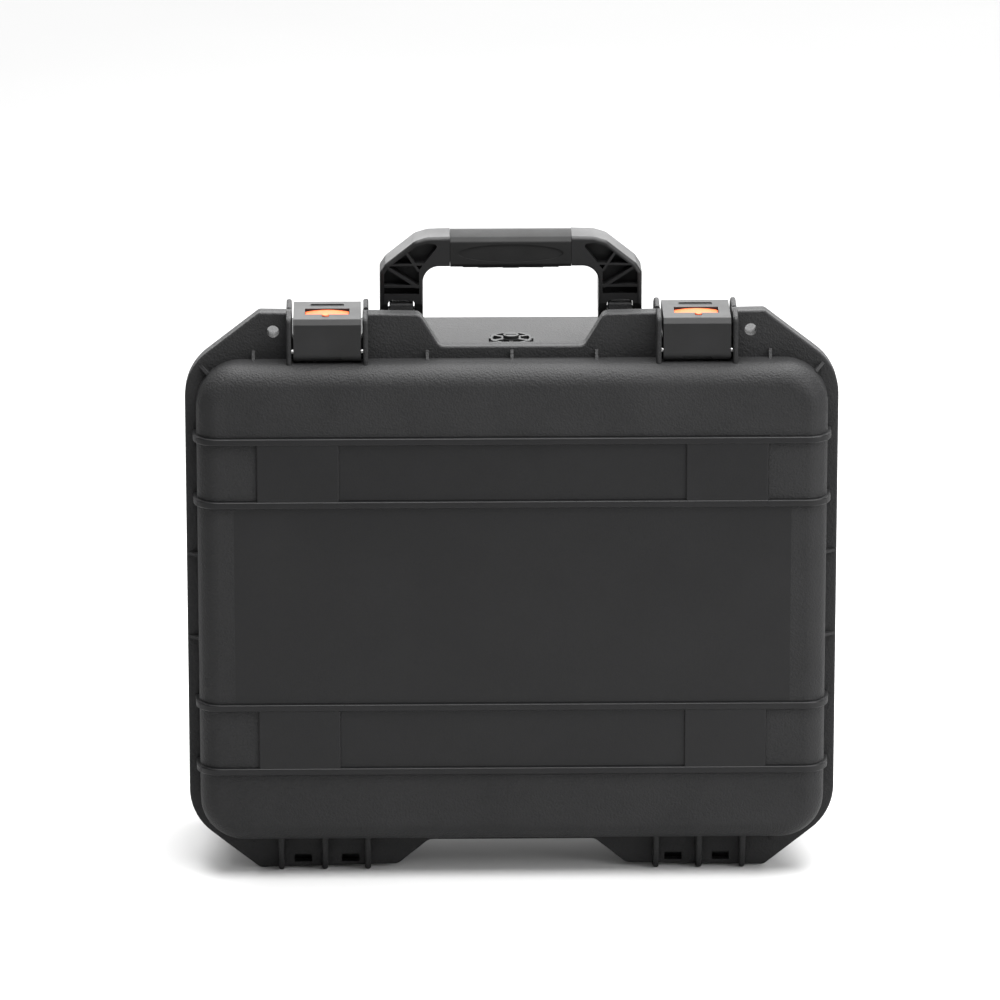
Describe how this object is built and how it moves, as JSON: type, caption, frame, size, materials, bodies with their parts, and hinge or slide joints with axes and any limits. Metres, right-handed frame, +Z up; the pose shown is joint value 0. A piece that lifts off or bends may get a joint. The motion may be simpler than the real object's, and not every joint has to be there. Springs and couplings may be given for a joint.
{
  "type": "drone carrying case",
  "caption": "Hard moulded carrying case with folding handle, sprung-button latches, hinged lid, seal, purge valve and cut foam for a folding drone.",
  "frame": {"origin": "on the ground, in the middle of the outer box, with the case standing on its hinge feet", "axes": "+Z up towards the handle, -Y towards the lid's front face, +X to the right seen from the lid"},
  "size_m": [0.36, 0.132, 0.3569],
  "materials": {
    "shell_plastic": "fine orange-peel moulded texture, satin on the pads",
    "latch_plastic": "satin moulded",
    "button_plastic": "orange, semi-gloss",
    "pin_steel": "turned steel",
    "spring_steel": "drawn wire",
    "handle_plastic": "satin moulded",
    "grip_rubber": "soft-touch overmould",
    "seal_rubber": "matte",
    "valve_plastic": "satin moulded",
    "foam": "closed-cell foam, fine pores"
  },
  "bodies": {
    "base": {"base_shell": "shell_plastic", "latch_keeper_left": "shell_plastic", "latch_keeper_right": "shell_plastic", "handle_bracket_left": "shell_plastic", "handle_bracket_right": "shell_plastic", "foam_tray": "foam", "foam_base_pad": "foam", "hinge_pin_left": "pin_steel", "hinge_pin_right": "pin_steel", "handle_pin_left": "pin_steel", "handle_pin_right": "pin_steel", "purge_valve_body": "valve_plastic", "purge_valve_oring": "seal_rubber"},
    "lid": {"lid_shell": "shell_plastic", "lid_gasket": "seal_rubber", "lid_foam": "foam", "latch_pin_left": "pin_steel", "latch_pin_right": "pin_steel"},
    "left_latch": {"latch_left": "latch_plastic", "button_spring_left": "spring_steel"},
    "right_latch": {"latch_right": "latch_plastic", "button_spring_right": "spring_steel"},
    "left_button": {"latch_button_left": "button_plastic"},
    "right_button": {"latch_button_right": "button_plastic"},
    "handle": {"handle_frame": "handle_plastic", "handle_grip": "grip_rubber"},
    "valve": {"purge_valve_knob": "valve_plastic"}
  },
  "joints": [
    {"name": "lid_hinge", "type": "hinge", "parent": "base", "child": "lid", "pos_m": [0, -0.033, 0.0062], "axis": [1, 0, 0], "range_deg": [0, 110]},
    {"name": "left_latch_hinge", "type": "hinge", "parent": "lid", "child": "left_latch", "pos_m": [-0.1014, -0.0498, 0.301], "axis": [1, 0, 0], "range_deg": [0, 90]},
    {"name": "right_latch_hinge", "type": "hinge", "parent": "lid", "child": "right_latch", "pos_m": [0.1014, -0.0498, 0.301], "axis": [1, 0, 0], "range_deg": [0, 90]},
    {"name": "left_button_press", "type": "slide", "parent": "left_latch", "child": "left_button", "axis": [0, 0, -1], "range_m": [0, 0.0025], "stiffness_N_per_m": 400, "springref_m": -0.001, "deforming": ["button_spring_left"]},
    {"name": "right_button_press", "type": "slide", "parent": "right_latch", "child": "right_button", "axis": [0, 0, -1], "range_m": [0, 0.0025], "stiffness_N_per_m": 400, "springref_m": -0.001, "deforming": ["button_spring_right"]},
    {"name": "handle_hinge", "type": "hinge", "parent": "base", "child": "handle", "pos_m": [0, 0.001, 0.3115], "axis": [-1, 0, 0], "range_deg": [0, 90]},
    {"name": "valve_turn", "type": "hinge", "parent": "base", "child": "valve", "pos_m": [0, -0.0155, 0.298], "axis": [0, 0, 1], "range_deg": [0, 180]}
  ]
}
